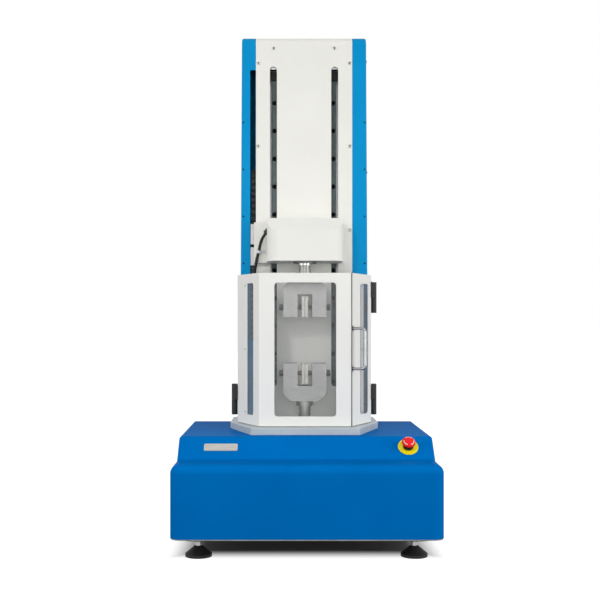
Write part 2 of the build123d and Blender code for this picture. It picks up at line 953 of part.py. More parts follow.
def clamp_screw(mouth, inward, side):
    """A clamping screw: tip in the jaw, pad behind the jaw and a six-sided head outside."""
    level = mouth + inward * clamp_offset
    tip = jaw_back - jaw_seat_depth + slip
    head = grip_half_width + slip
    with BuildPart() as screw:
        with BuildSketch(Plane.YZ.offset(side * tip)):
            with Locations((axis_y, level)):
                Circle(clamp_radius)
        extrude(amount=side * (head - tip))
        with BuildSketch(Plane.YZ.offset(side * (jaw_back + running))):
            with Locations((axis_y, level)):
                Circle(clamp_pad_radius)
        extrude(amount=side * clamp_pad_length)
        with BuildSketch(Plane.YZ.offset(side * head)):
            with Locations((axis_y, level)):
                RegularPolygon(clamp_head_width / 2, 6, major_radius=False)
        extrude(amount=side * clamp_head_length)
    return screw


for grip_name, mouth, inward in (("upper", upper_grip_mouth, 1), ("lower", lower_grip_mouth, -1)):
    write(grip_body(mouth, inward), f"{grip_name}_grip_body")
    for side_name, side in (("left", -1), ("right", 1)):
        write(grip_jaw(mouth, inward, side), f"{grip_name}_jaw_{side_name}")
        write(clamp_screw(mouth, inward, side), f"{grip_name}_screw_{side_name}")

# Guard: each leaf is one bent sheet, drawn in plan along its outer face
wing_length = math.hypot(guard_rear_half - guard_front_half, guard_rear_y - guard_front_y)
wing_x = (guard_rear_half - guard_front_half) / wing_length
wing_y = (guard_rear_y - guard_front_y) / wing_length
front_mitre = guard_sheet * (1 - wing_x) / wing_y
rear_mitre = guard_sheet * (1 - wing_y) / wing_x
return_y = guard_rear_y + guard_return


def wing_plane(side):
    """The outer face of a wing: its X runs along the wing and its Y is up."""
    return Plane(
        origin=(side * guard_front_half, guard_front_y, 0),
        x_dir=(wing_x, side * wing_y, 0),
        z_dir=(side * wing_y, -wing_x, 0),
    )


def window(start, width, margin=0.0):
    """A rounded window outline on the current sketch plane."""
    with Locations((start + width / 2, (window_bottom + window_top) / 2)):
        RectangleRounded(
            abs(width) + 2 * margin,
            window_top - window_bottom + 2 * margin,
            window_corner,
        )


def guard_leaf(outline, side, start, width):
    """A bent sheet cut by the window in its wing."""
    with BuildPart() as leaf:
        with BuildSketch(Plane.XY.offset(guard_bottom)):
            with BuildLine():
                Polyline(*outline, close=True)
            make_face()
        extrude(amount=guard_top - guard_bottom)
        with BuildSketch(wing_plane(side)):
            window(side * start, side * width)
        extrude(amount=2 * guard_sheet, both=True, mode=Mode.SUBTRACT)
    return leaf.part


left_outline = [
    (guard_front_half, guard_front_y),
    (-guard_front_half, guard_front_y),
    (-guard_rear_half, guard_rear_y),
    (-guard_rear_half, return_y),
    (guard_sheet - guard_rear_half, return_y),
    (guard_sheet - guard_rear_half, guard_rear_y + rear_mitre),
    (front_mitre - guard_front_half, guard_front_y + guard_sheet),
    (guard_front_half - guard_sheet / wing_y, guard_front_y + guard_sheet),
]
seam_outer = (guard_front_half + guard_seam * wing_x, guard_front_y + guard_seam * wing_y)
right_outline = [
    seam_outer,
    (guard_rear_half, guard_rear_y),
    (guard_rear_half, return_y),
    (guard_rear_half - guard_sheet, return_y),
    (guard_rear_half - guard_sheet, guard_rear_y + rear_mitre),
    (seam_outer[0] - wing_y * guard_sheet, seam_outer[1] + wing_x * guard_sheet),
]

with BuildPart() as left_door_panel:
    add(guard_leaf(left_outline, -1, left_window_start, left_window_width))
    with BuildSketch(facing(guard_front_y)):
        window(-front_window_width / 2, front_window_width)
    extrude(amount=-2 * guard_sheet, mode=Mode.SUBTRACT)
write(left_door_panel, "left_door_panel")

with BuildPart() as right_door_panel:
    add(guard_leaf(right_outline, 1, right_window_start, right_window_width))
write(right_door_panel, "right_door_panel")

with BuildPart() as left_door_panes:
    with BuildSketch(facing(guard_front_y + guard_sheet)):
        window(-front_window_width / 2, front_window_width, pane_margin)
    extrude(amount=-pane_thickness)
    with BuildSketch(wing_plane(-1).offset(-guard_sheet)):
        window(-left_window_start, -left_window_width, pane_margin)
    extrude(amount=-pane_thickness)
write(left_door_panes, "left_door_panes")

with BuildPart() as right_door_pane:
    with BuildSketch(wing_plane(1).offset(-guard_sheet)):
        window(right_window_start, right_window_width, pane_margin)
    extrude(amount=-pane_thickness)
write(right_door_pane, "right_door_pane")

# Lift-off hinges: the lower half with its pin is fixed, the upper half turns with the door
fixed_leaf_y = hinge_y + hinge_leaf_gap
moving_leaf_y = hinge_y - hinge_leaf_gap
hinge_places = [(1, hinge_lower_level), (1, hinge_upper_level), (-1, hinge_lower_level)]


def hinge_half_solid(side, level, leaf_x, near_y, far_y):
    """One half of a hinge: a leaf and its barrel, without the bore."""
    tangent_y = hinge_y + math.copysign(hinge_barrel_radius, near_y - hinge_y)
    leaf_outer = guard_rear_half + hinge_leaf
    with BuildPart() as half:
        with BuildSketch(Plane.XY.offset(level)):
            with BuildLine():
                Polyline(
                    (side * leaf_x, far_y),
                    (side * leaf_outer, far_y),
                    (side * leaf_outer, near_y),
                    (side * hinge_x, tangent_y),
                    (side * hinge_x, hinge_y),
                    (side * (hinge_x - hinge_barrel_radius), hinge_y),
                    (side * (guard_rear_half + running), near_y),
                    (side * leaf_x, near_y),
                    close=True,
                )
            make_face()
            with Locations((side * hinge_x, hinge_y)):
                Circle(hinge_barrel_radius)
        extrude(amount=hinge_half)
    return half.part


with BuildPart() as hinge_posts:
    for side, level in hinge_places:
        leaf_end = fixed_leaf_y + hinge_leaf_length
        add(hinge_half_solid(side, level, cover_half_top, fixed_leaf_y, leaf_end))
        rod((side * hinge_x, hinge_y), hinge_pin_radius, (level, level + 2 * hinge_half - 1))
    for side in (-1, 1):
        add(
            column_block(
                sorted((side * cover_inner, side * cover_half_bottom)),
                sorted((side * cover_inner, side * cover_half_top)),
                (column_front_y, column_rear_y),
                (table_top, column_top),
                cover_bend,
            ),
            mode=Mode.SUBTRACT,
        )
write(hinge_posts, "hinge_posts")


def door_hinges(places):
    """The halves that turn with a door, each bored for its pin."""
    with BuildPart() as halves:
        for side, level in places:
            bottom = level + hinge_half + slip
            leaf_end = moving_leaf_y - hinge_leaf_length
            add(hinge_half_solid(side, bottom, guard_rear_half, moving_leaf_y, leaf_end))
            rod(
                (side * hinge_x, hinge_y),
                hinge_pin_radius + running,
                (level + hinge_half, level + 2 * hinge_half),
                Mode.SUBTRACT,
            )
    return halves


write(door_hinges(hinge_places[:2]), "right_door_hinges")
write(door_hinges(hinge_places[2:]), "left_door_hinge")

# Handle on the right door: a bent bar on two small feet
handle_plane = wing_plane(1)


def on_wing(along, out, level):
    """A point given along the right wing, out of its face, and by its level."""
    return (
        guard_front_half + along * wing_x + out * wing_y,
        guard_front_y + along * wing_y - out * wing_x,
        level,
    )


with BuildPart() as door_handle:
    with BuildLine() as handle_path:
        FilletPolyline(
            on_wing(handle_start, 0, handle_level),
            on_wing(handle_start, handle_reach, handle_level),
            on_wing(handle_start, handle_reach, handle_level + handle_spacing),
            on_wing(handle_start, 0, handle_level + handle_spacing),
            radius=handle_bend,
        )
    handle_wire = handle_path.wire()
    with BuildSketch(Plane(origin=handle_wire @ 0, z_dir=handle_wire % 0)):
        Circle(handle_radius)
    sweep(path=handle_wire)
    with BuildSketch(handle_plane):
        with Locations((handle_start, handle_level), (handle_start, handle_level + handle_spacing)):
            Circle(handle_foot_radius)
    extrude(amount=handle_foot_height)
write(door_handle, "door_handle")

# Emergency stop: ring, fixed body with its contact block, plunger and mushroom button
with BuildPart() as estop_ring:
    with BuildSketch(stop_plane):
        Circle(stop_ring_radius)
        Circle(stop_hole_radius, mode=Mode.SUBTRACT)
    extrude(amount=stop_ring_thickness)
write(estop_ring, "estop_ring")

with BuildPart() as estop_body:
    with BuildSketch(stop_plane.offset(stop_block_level)):
        Circle(stop_body_radius)
    extrude(amount=stop_ring_thickness - stop_block_level)
    with BuildSketch(stop_plane.offset(stop_ring_thickness)):
        Circle(stop_bezel_radius)
    extrude(amount=stop_bezel_height)
    with BuildSketch(stop_plane.offset(stop_block_level)):
        Rectangle(stop_block, stop_block)
    extrude(amount=-stop_block_depth)
    with BuildSketch(stop_plane.offset(stop_ring_thickness + stop_bezel_height)):
        Circle(stop_plunger_radius + running)
    extrude(
        amount=stop_plunger_bottom - stop_travel - slip - stop_ring_thickness - stop_bezel_height,
        mode=Mode.SUBTRACT,
    )
write(estop_body, "estop_body")

with BuildPart() as estop_plunger:
    with BuildSketch(stop_plane.offset(stop_plunger_bottom)):
        Circle(stop_plunger_radius)
    extrude(amount=stop_cap_level + stop_cap_bore - slip - stop_plunger_bottom)
write(estop_plunger, "estop_plunger")

with BuildPart() as estop_button:
    with BuildSketch(stop_plane.offset(stop_cap_level + stop_ring_thickness)):
        Circle(stop_cap_radius)
    extrude(amount=stop_cap_height)
    cap_edges = estop_button.edges().filter_by(GeomType.CIRCLE).sort_by(Axis.Z)
    chamfer(cap_edges[-1], stop_cap_round)
    with BuildSketch(stop_plane.offset(stop_cap_level + stop_ring_thickness)):
        Circle(stop_plunger_radius + running)
    extrude(amount=stop_cap_bore, mode=Mode.SUBTRACT)
write(estop_button, "estop_button")

# Energy chain beside the spine: a fixed strand, and a moving strand with the lower bend
chain_x = (chain_left + chain_right) / 2
chain_width = chain_right - chain_left
front_strand_y = chain_front_y + chain_thickness / 2
rear_strand_y = front_strand_y + 2 * chain_bend_radius
core_width = chain_width * chain_core_share
core_thickness = chain_thickness * chain_core_share
link_length = chain_pitch - chain_link_gap
bracket_bottom = crosshead_bottom - bracket_drop


def chain_links(strand_y, bottom, top):
    """Upright links with the core that joins them, added to the current piece."""
    count = int((top - bottom) / chain_pitch)
    with Locations((chain_x, strand_y, (top + bottom) / 2)):
        Box(core_width, core_thickness, top - bottom)
    levels = [top - (i + 0.5) * chain_pitch for i in range(count)]
    with Locations(*[(chain_x, strand_y, level) for level in levels]):
        Box(chain_width, chain_thickness, link_length)


with BuildPart() as energy_chain:
    chain_links(rear_strand_y, chain_meeting + slip, chain_top)
write(energy_chain, "energy_chain")

bend_links = int(math.pi * chain_bend_radius / chain_pitch)
bend_middle = Plane(
    origin=(chain_x, front_strand_y + chain_bend_radius, chain_bend_level),
    x_dir=(0, 1, 0),
    z_dir=(1, 0, 0),
)

with BuildPart() as chain_loop:
    chain_links(front_strand_y, chain_bend_level, bracket_bottom - slip)
    chain_links(rear_strand_y, chain_bend_level, chain_meeting)
    with BuildSketch(bend_middle.offset(-core_width / 2)):
        Circle(chain_bend_radius + core_thickness / 2)
        Circle(chain_bend_radius - core_thickness / 2, mode=Mode.SUBTRACT)
        with Locations((0, chain_bend_radius)):
            Rectangle(4 * chain_bend_radius, 2 * chain_bend_radius, mode=Mode.SUBTRACT)
    extrude(amount=core_width)
    with BuildSketch(bend_middle.offset(-chain_width / 2)):
        for i in range(bend_links):
            turn = -180 * (i + 0.5) / bend_links
            with PolarLocations(chain_bend_radius, 1, start_angle=turn):
                Rectangle(chain_thickness, link_length - chain_link_gap)
    extrude(amount=chain_width)
write(chain_loop, "chain_loop")

# Bracket that holds the moving end of the chain on the back plate of the crosshead
with BuildPart() as chain_bracket:
    block(
        (bracket_left, bracket_right),
        (back_plate_rear_y, back_plate_rear_y + bracket_sheet),
        (bracket_bottom, crosshead_top - bracket_sheet),
    )
    block(
        (bracket_left, chain_right),
        (back_plate_rear_y, chain_front_y + chain_thickness),
        (bracket_bottom, bracket_bottom + bracket_sheet),
    )
    block(
        (bracket_left - 1, back_plate_left),
        (back_plate_rear_y - 1, back_plate_rear_y + bracket_sheet + 1),
        (bracket_slit_level, bracket_slit_level + bracket_slit_height),
        Mode.SUBTRACT,
    )
write(chain_bracket, "chain_bracket")


def bend_radii(points):
    """The radius of the arc at each inner point of a cable's route."""
    radii = []
    for before, here, after in zip(points, points[1:], points[2:]):
        first = Vector(*here) - Vector(*before)
        second = Vector(*after) - Vector(*here)
        half_turn = math.radians(first.get_angle(second)) / 2
        radii.append(0.45 * min(first.length, second.length) / math.tan(half_turn))
    return radii


# Cable of the load cell: from the cover, past the clip, down to the chain
cable_radii = bend_radii(cable_route)
print("cable bend radii", [round(radius) for radius in cable_radii])

with BuildPart() as sensor_cable:
    with BuildLine() as cable_line:
        FilletPolyline(*cable_route, radius=cable_radii)
    cable_wire = cable_line.wire()
    with BuildSketch(Plane(origin=cable_wire @ 0, z_dir=cable_wire % 0)):
        Circle(cable_radius)
    sweep(path=cable_wire)
write(sensor_cable, "sensor_cable")
print("cable length", round(cable_wire.length, 1))

# Clip that holds the cable on the back plate
clip_point = cable_wire @ clip_at
clip_plane = Plane(origin=clip_point, z_dir=cable_wire % clip_at)

with BuildPart() as cable_clip:
    with BuildSketch(clip_plane.offset(-clip_width / 2)):
        Circle(cable_bore_radius + clip_band)
    extrude(amount=clip_width)
    block(
        (clip_point.X, clip_lug_right),
        (back_plate_front_y - 2 * clip_band, back_plate_front_y),
        (clip_point.Z - clip_width / 2, clip_point.Z + clip_width / 2),
    )
    with BuildSketch(clip_plane.offset(-clip_width)):
        Circle(cable_bore_radius)
    extrude(amount=2 * clip_width, mode=Mode.SUBTRACT)
write(cable_clip, "cable_clip")
print("clip at", clip_point)
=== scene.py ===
import bpy
import bmesh
import json
import math
from mathutils import Matrix, Vector


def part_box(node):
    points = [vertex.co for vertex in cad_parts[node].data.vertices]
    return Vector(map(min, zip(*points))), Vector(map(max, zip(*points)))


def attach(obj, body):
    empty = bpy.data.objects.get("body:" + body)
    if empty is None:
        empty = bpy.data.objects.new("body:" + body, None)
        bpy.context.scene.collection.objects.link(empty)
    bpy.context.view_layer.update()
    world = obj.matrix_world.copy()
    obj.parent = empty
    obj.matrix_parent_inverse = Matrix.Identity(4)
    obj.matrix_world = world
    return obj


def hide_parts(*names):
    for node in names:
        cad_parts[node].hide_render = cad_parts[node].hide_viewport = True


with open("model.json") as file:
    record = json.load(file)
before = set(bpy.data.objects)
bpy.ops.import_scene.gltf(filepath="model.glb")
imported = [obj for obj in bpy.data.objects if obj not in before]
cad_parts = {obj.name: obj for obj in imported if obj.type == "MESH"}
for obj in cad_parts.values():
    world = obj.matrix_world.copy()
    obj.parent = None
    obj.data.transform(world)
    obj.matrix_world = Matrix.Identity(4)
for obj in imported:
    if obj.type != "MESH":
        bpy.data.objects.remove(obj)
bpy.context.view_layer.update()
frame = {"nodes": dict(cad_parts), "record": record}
nodes = frame["nodes"]


# Materials. Every one has its own grain, so none is a flat colour
def new_material(name):
    material = bpy.data.materials.new(name)
    material.use_nodes = True
    return material, material.node_tree.nodes, material.node_tree.links


def grain(material, scale, stretch=(1, 1, 1), detail=4.0):
    """Noise in object space, stretched along the axes given."""
    tree = material.node_tree
    coordinates = tree.nodes.new("ShaderNodeTexCoord")
    mapping = tree.nodes.new("ShaderNodeMapping")
    mapping.inputs["Scale"].default_value = stretch
    noise = tree.nodes.new("ShaderNodeTexNoise")
    noise.inputs["Scale"].default_value = scale
    noise.inputs["Detail"].default_value = detail
    tree.links.new(coordinates.outputs["Object"], mapping.inputs["Vector"])
    tree.links.new(mapping.outputs["Vector"], noise.inputs["Vector"])
    return noise.outputs["Fac"]


def ramp(material, fac, low, high, start=0.3, end=0.7):
    node = material.node_tree.nodes.new("ShaderNodeValToRGB")
    node.color_ramp.elements[0].position = start
    node.color_ramp.elements[1].position = end
    node.color_ramp.elements[0].color = (*low, 1)
    node.color_ramp.elements[1].color = (*high, 1)
    material.node_tree.links.new(fac, node.inputs["Fac"])
    return node.outputs["Color"]


def spread(material, fac, low, high):
    node = material.node_tree.nodes.new("ShaderNodeMapRange")
    node.inputs["To Min"].default_value = low
    node.inputs["To Max"].default_value = high
    material.node_tree.links.new(fac, node.inputs["Value"])
    return node.outputs["Result"]


def bump(material, fac, strength, distance):
    node = material.node_tree.nodes.new("ShaderNodeBump")
    node.inputs["Strength"].default_value = strength
    node.inputs["Distance"].default_value = distance
    material.node_tree.links.new(fac, node.inputs["Height"])
    return node.outputs["Normal"]


def surface(name, low, high, rough, metal=0.0, scale=40.0, stretch=(1, 1, 1), fine=900.0,
            strength=0.12, depth=0.0002, coat=0.0, specular=0.5):
    """A material with cloudy colour, uneven roughness and a fine relief."""
    material, tree_nodes, links = new_material(name)
    shader = tree_nodes["Principled BSDF"]
    broad = grain(material, scale, stretch)
    close = grain(material, fine, stretch, 6.0)
    links.new(ramp(material, broad, low, high), shader.inputs["Base Color"])
    links.new(spread(material, close, rough[0], rough[1]), shader.inputs["Roughness"])
    links.new(bump(material, close, strength, depth), shader.inputs["Normal"])
    shader.inputs["Metallic"].default_value = metal
    shader.inputs["Coat Weight"].default_value = coat
    shader.inputs["Coat Roughness"].default_value = 0.12
    shader.inputs["Specular IOR Level"].default_value = specular
    return material


looks = {
    "base_blue": surface("base paint", (0.000, 0.134, 0.440), (0.000, 0.146, 0.470), (0.30, 0.40),
                         scale=6, fine=1400, strength=0.12, depth=0.0001, specular=0.001),
    "column_blue": surface("column paint", (0.002, 0.270, 0.585), (0.004, 0.290, 0.620), (0.36, 0.48),
                           scale=6, fine=1400, strength=0.12, depth=0.0001, specular=0.03),
    "white": surface("white paint", (0.795, 0.790, 0.745), (0.825, 0.820, 0.775), (0.42, 0.55),
                     scale=7, fine=1500, strength=0.10, depth=0.0001, specular=0.2),
    "light_grey": surface("table finish", (0.390, 0.440, 0.470), (0.455, 0.505, 0.535), (0.30, 0.42),
                          scale=9, stretch=(1, 6, 6), fine=700, strength=0.08, depth=0.0001),
    "black_paint": surface("black paint", (0.010, 0.010, 0.011), (0.018, 0.018, 0.020), (0.42, 0.58),
                           fine=1100, strength=0.2, specular=0.3),
    "bright_steel": surface("bright steel", (0.48, 0.48, 0.47), (0.60, 0.60, 0.58), (0.24, 0.38),
                            metal=1.0, scale=60, stretch=(8, 8, 1), fine=500),
    "grip_steel": surface("grip steel", (0.215, 0.213, 0.210), (0.268, 0.266, 0.261), (0.36, 0.50),
                          metal=0.8, scale=30, stretch=(1, 1, 10), fine=300, strength=0.10),
    "dark_steel": surface("dark steel", (0.10, 0.105, 0.10), (0.17, 0.18, 0.17), (0.30, 0.45),
                          metal=0.8, scale=50, stretch=(6, 6, 1), fine=500),
    "cast": surface("cast iron", (0.09, 0.10, 0.11), (0.14, 0.15, 0.16), (0.55, 0.75),
                    metal=0.3, scale=80, fine=900, strength=0.4),
    "aluminium": surface("aluminium", (0.52, 0.53, 0.54), (0.62, 0.63, 0.64), (0.30, 0.45),
                         metal=1.0, scale=50, stretch=(8, 8, 1), fine=500),
    "chrome": surface("chrome", (0.25, 0.25, 0.25), (0.31, 0.31, 0.31), (0.10, 0.18),
                      metal=1.0, scale=90, fine=900, strength=0.03),
    "rubber": surface("rubber", (0.008, 0.008, 0.008), (0.018, 0.018, 0.018), (0.55, 0.75),
                      fine=1600, strength=0.25, specular=0.3),
    "black_plastic": surface("black plastic", (0.010, 0.010, 0.011), (0.020, 0.020, 0.021), (0.40, 0.55),
                             fine=1500, strength=0.2, specular=0.4),
    "nylon": surface("nylon", (0.50, 0.53, 0.58), (0.60, 0.63, 0.68), (0.30, 0.45), fine=900),
    "yellow_plastic": surface("yellow plastic", (0.80, 0.66, 0.00), (0.86, 0.72, 0.01), (0.40, 0.55),
                              fine=900, specular=0.25),
    "red_plastic": surface("red plastic", (0.76, 0.006, 0.006), (0.84, 0.010, 0.010), (0.26, 0.36),
                           fine=900, strength=0.05, specular=0.2),
}
guard_paint = surface("guard paint", (0.800, 0.795, 0.765), (0.825, 0.820, 0.790), (0.42, 0.55),
                      scale=7, fine=1500, strength=0.10, depth=0.0001, specular=0.2)
rail_steel = surface("rail steel", (0.045, 0.060, 0.060), (0.075, 0.095, 0.095), (0.30, 0.45),
                     metal=0.5, scale=50, stretch=(6, 6, 1), fine=500)
jaw_steel = surface("jaw steel", (0.27, 0.26, 0.24), (0.34, 0.33, 0.31), (0.34, 0.48),
                    metal=0.7, scale=60, stretch=(8, 8, 1), fine=500)
screw_zinc = surface("zinc", (0.34, 0.34, 0.31), (0.46, 0.46, 0.42), (0.28, 0.40),
                     metal=0.9, scale=200, fine=900)
stem_steel = surface("stem steel", (0.25, 0.245, 0.23), (0.34, 0.33, 0.31), (0.30, 0.42),
                     metal=0.65, scale=60, stretch=(8, 8, 1), fine=500)
clamp_steel = surface("clamp steel", (0.085, 0.075, 0.065), (0.140, 0.125, 0.110), (0.35, 0.50),
                      metal=0.7, scale=60, fine=600)
# Guard paint darkened to grey for the right bead: painted shade
bead_painted_shade = surface("bead grey", (0.38, 0.39, 0.41), (0.44, 0.45, 0.47), (0.30, 0.42),
                     metal=0.4, scale=40, stretch=(6, 6, 1), fine=700)
seal_black = surface("seal", (0.012, 0.012, 0.013), (0.022, 0.022, 0.023), (0.6, 0.8),
                     fine=1200, specular=0.2)
plate_edge = surface("plate edge", (0.16, 0.17, 0.17), (0.24, 0.25, 0.25), (0.35, 0.50),
                     metal=0.8, scale=40, fine=700)
badge_silver = surface("badge silver", (0.34, 0.33, 0.31), (0.43, 0.42, 0.39), (0.26, 0.36),
                       metal=0.9, scale=30, stretch=(1, 12, 12), fine=700, strength=0.05)
bracket_grey = surface("bracket finish", (0.46, 0.46, 0.45), (0.54, 0.54, 0.53), (0.40, 0.55),
                       metal=0.2, scale=50, fine=800, specular=0.3)
# Near-black: the own colour of black screw heads, plugs and rail bolts, and painted shade where it stands
# for sockets, louvre openings and the cover's inner side
black_and_hole_shade = surface("hole", (0.004, 0.004, 0.005), (0.008, 0.008, 0.009), (0.6, 0.8), specular=0.1)
mark_white = surface("white mark", (0.78, 0.78, 0.76), (0.84, 0.84, 0.82), (0.4, 0.5), specular=0.2)


def pane_material(name, low, high, alpha):
    """Clear sheet: a faint tint and the share of it that is seen."""
    material, tree_nodes, links = new_material(name)
    shader = tree_nodes["Principled BSDF"]
    links.new(ramp(material, grain(material, 9.0), low, high), shader.inputs["Base Color"])
    links.new(spread(material, grain(material, 60.0), 0.02, 0.06), shader.inputs["Roughness"])
    shader.inputs["Alpha"].default_value = alpha
    return material


def link_material():
    """Dark plastic links; every 20 mm of height a near-black band, with a bump, paints the shade in the gap
    between links.
    """
    material, tree_nodes, links = new_material("chain links")
    shader = tree_nodes["Principled BSDF"]
    coordinates = tree_nodes.new("ShaderNodeTexCoord")
    bands = tree_nodes.new("ShaderNodeTexWave")
    bands.bands_direction = "Z"
    bands.inputs["Scale"].default_value = 15.7
    links.new(coordinates.outputs["Object"], bands.inputs["Vector"])
    links_and_gap_shade = ramp(material, bands.outputs["Fac"], (0.003, 0.003, 0.004), (0.095, 0.098, 0.104), 0.35, 0.50)
    links.new(links_and_gap_shade, shader.inputs["Base Color"])
    links.new(spread(material, grain(material, 900.0), 0.40, 0.55), shader.inputs["Roughness"])
    links.new(bump(material, bands.outputs["Fac"], 0.4, 0.0006), shader.inputs["Normal"])
    return material


chain_links = link_material()
looks["clear"] = pane_material("clear pane", (0.80, 0.83, 0.83), (0.88, 0.90, 0.90), 0.04)
# Dark grey tint of the left leaf's slanted panes: painted reflection and shade
slant_pane_painted_reflection = pane_material("clear pane at a slant", (0.20, 0.23, 0.27), (0.26, 0.29, 0.33), 0.25)
# Dark grey tint of the right leaf's pane: painted reflection and shade of a pane seen at a slant
right_pane_painted_reflection = pane_material("clear pane over a grey bead", (0.10, 0.105, 0.11), (0.15, 0.155, 0.16), 0.40)

own_looks = {
    "energy_chain": chain_links,
    "chain_loop": chain_links,
    "chain_bracket": bracket_grey,
    "foot_studs": screw_zinc,
    "foot_nuts": screw_zinc,
    "base_plate": plate_edge,
    "load_cell": looks["bright_steel"],
    "left_door_panel": guard_paint,
    "right_door_panel": guard_paint,
    "right_door_pane": right_pane_painted_reflection,
    "guide_rails": rail_steel,
}
for level in ("upper", "lower"):
    own_looks[f"{level}_stem"] = stem_steel
    own_looks[f"{level}_lock_ring"] = stem_steel
    for side_name in ("left", "right"):
        own_looks[f"{level}_jaw_{side_name}"] = jaw_steel
        own_looks[f"{level}_screw_{side_name}"] = clamp_steel
slots = {row["node"]: row["material_slot"] for row in frame["record"]["subparts"]}
for name, node in nodes.items():
    node.data.materials.clear()
    node.data.materials.append(own_looks.get(name, looks[slots[name]]))

# The left leaf's rear panes are tinted dark grey: painted reflection and shade of a pane seen at a slant
panes = nodes["left_door_panes"]
panes.data.materials.append(slant_pane_painted_reflection)
pane_front_depth = 0.008
front_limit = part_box("left_door_panes")[0][1] + pane_front_depth
for polygon in panes.data.polygons:
    if (panes.matrix_world @ polygon.center).y > front_limit:
        polygon.material_index = 1

# The left side cover's inner side is painted black where the chain runs: painted shade inside the notch
cover = nodes["side_cover_left"]
cover.data.materials.append(black_and_hole_shade)
turn = cover.matrix_world.to_3x3()
cover_lip = 0.010
inner_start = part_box("side_cover_left")[0][1] + cover_lip
for polygon in cover.data.polygons:
    if (turn @ polygon.normal).x > 0.9 and (cover.matrix_world @ polygon.center).y > inner_start:
        polygon.material_index = 1


# Shape helpers. All sizes in metres
def mesh_object(name, build, look, body, bevel=0.0, smooth=True):
    """An object made by a function that fills a bmesh, riding on a body."""
    mesh = bpy.data.meshes.new(name)
    shape = bmesh.new()
    build(shape)
    shape.to_mesh(mesh)
    shape.free()
    piece = bpy.data.objects.new(name, mesh)
    bpy.context.scene.collection.objects.link(piece)
    mesh.materials.append(look)
    if smooth:
        for polygon in mesh.polygons:
            polygon.use_smooth = True
        edges = piece.modifiers.new("edges", "EDGE_SPLIT")
        edges.split_angle = math.radians(35)
    if bevel:
        rounding = piece.modifiers.new("rounding", "BEVEL")
        rounding.width = bevel
        rounding.segments = 2
    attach(piece, body)
    return piece


def frame_at(origin, normal, up=(0, 0, 1)):
    """A matrix whose Z is the normal and whose Y is close to up."""
    z = Vector(normal).normalized()
    x = Vector(up).cross(z).normalized()
    y = z.cross(x)
    matrix = Matrix((x, y, z)).transposed().to_4x4()
    matrix.translation = Vector(origin)
    return matrix


def add_disc(shape, matrix, radius, bottom, top, sides=24, top_radius=None):
    """A closed cylinder or cone along the matrix's Z."""
    end = radius if top_radius is None else top_radius
    lower = []
    upper = []
    for i in range(sides):
        angle = 2 * math.pi * i / sides
        direction = Vector((math.cos(angle), math.sin(angle), 0))
        lower.append(shape.verts.new(matrix @ (direction * radius + Vector((0, 0, bottom)))))
        upper.append(shape.verts.new(matrix @ (direction * end + Vector((0, 0, top)))))
    shape.faces.new(lower[::-1])
    shape.faces.new(upper)
    for i in range(sides):
        j = (i + 1) % sides
        shape.faces.new((lower[i], lower[j], upper[j], upper[i]))


def add_box(shape, matrix, low, high):
    """A box between two corners in the matrix's space."""
    corners = []
    for z in (low[2], high[2]):
        for x, y in ((low[0], low[1]), (high[0], low[1]), (high[0], high[1]), (low[0], high[1])):
            corners.append(shape.verts.new(matrix @ Vector((x, y, z))))
    for face in ((3, 2, 1, 0), (4, 5, 6, 7), (0, 1, 5, 4), (1, 2, 6, 5), (2, 3, 7, 6), (3, 0, 4, 7)):
        shape.faces.new([corners[i] for i in face])


def add_lathe(shape, matrix, profile, sides=48):
    """A turned body: the profile is a list of (radius, height), from the axis back to the axis."""
    rings = []
    for radius, height in profile:
        if radius == 0:
            rings.append([shape.verts.new(matrix @ Vector((0, 0, height)))])
            continue
        ring = []
        for i in range(sides):
            angle = 2 * math.pi * i / sides
            place = Vector((math.cos(angle) * radius, math.sin(angle) * radius, height))
            ring.append(shape.verts.new(matrix @ place))
        rings.append(ring)
    for lower, upper in zip(rings, rings[1:]):
        for i in range(sides):
            j = (i + 1) % sides
            below = lower[i % len(lower)], lower[j % len(lower)]
            above = upper[j % len(upper)], upper[i % len(upper)]
            shape.faces.new(list(dict.fromkeys(below + above)))


def add_plate(shape, matrix, width, height, corner, bottom, top, steps=6):
    """A flat plate with rounded corners."""
    lower = []
    upper = []
    for quarter, (sx, sy) in enumerate(((1, 1), (-1, 1), (-1, -1), (1, -1))):
        for i in range(steps + 1):
            angle = math.pi / 2 * (quarter + i / steps)
            x = sx * (width / 2 - corner) + corner * math.cos(angle)
            y = sy * (height / 2 - corner) + corner * math.sin(angle)
            lower.append(shape.verts.new(matrix @ Vector((x, y, bottom))))
            upper.append(shape.verts.new(matrix @ Vector((x, y, top))))
    shape.faces.new(lower[::-1])
    shape.faces.new(upper)
    for i in range(len(lower)):
        j = (i + 1) % len(lower)
        shape.faces.new((lower[i], lower[j], upper[j], upper[i]))


def screws(name, places, normal, radius, height, look, body, socket=0.45):
    """Round screw heads on a face, each with a flat black six-sided disc that paints the shade of its
    socket.
    """

    def heads(shape):
        for place in places:
            matrix = frame_at(place, normal)
            add_disc(shape, matrix, radius, -0.0002, 0.6 * height, 20)
            add_disc(shape, matrix, radius, 0.6 * height, height, 20, 0.72 * radius)

    def sockets(shape):
        for place in places:
            add_disc(shape, frame_at(place, normal), socket * radius, height - 0.0002, height + 0.00005, 6)

    mesh_object(name, heads, look, body)
    mesh_object(name + "_sockets", sockets, black_and_hole_shade, body)


# Column: screws of the covers, plugs in the blue strips, bolts, end stops and head plates of the rails
column_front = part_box("front_cover")[0][1]
cover_screw_places = ((0.0955, 1.5175), (0.143, 1.4706), (0.144, 1.210), (0.145, 0.946))
cover_screws = []
for x, z in cover_screw_places:
    cover_screws += [(-x, column_front, z), (x, column_front, z)]
screws("cover_screws", cover_screws, (0, -1, 0), 0.0054, 0.0030, screw_zinc, "frame")

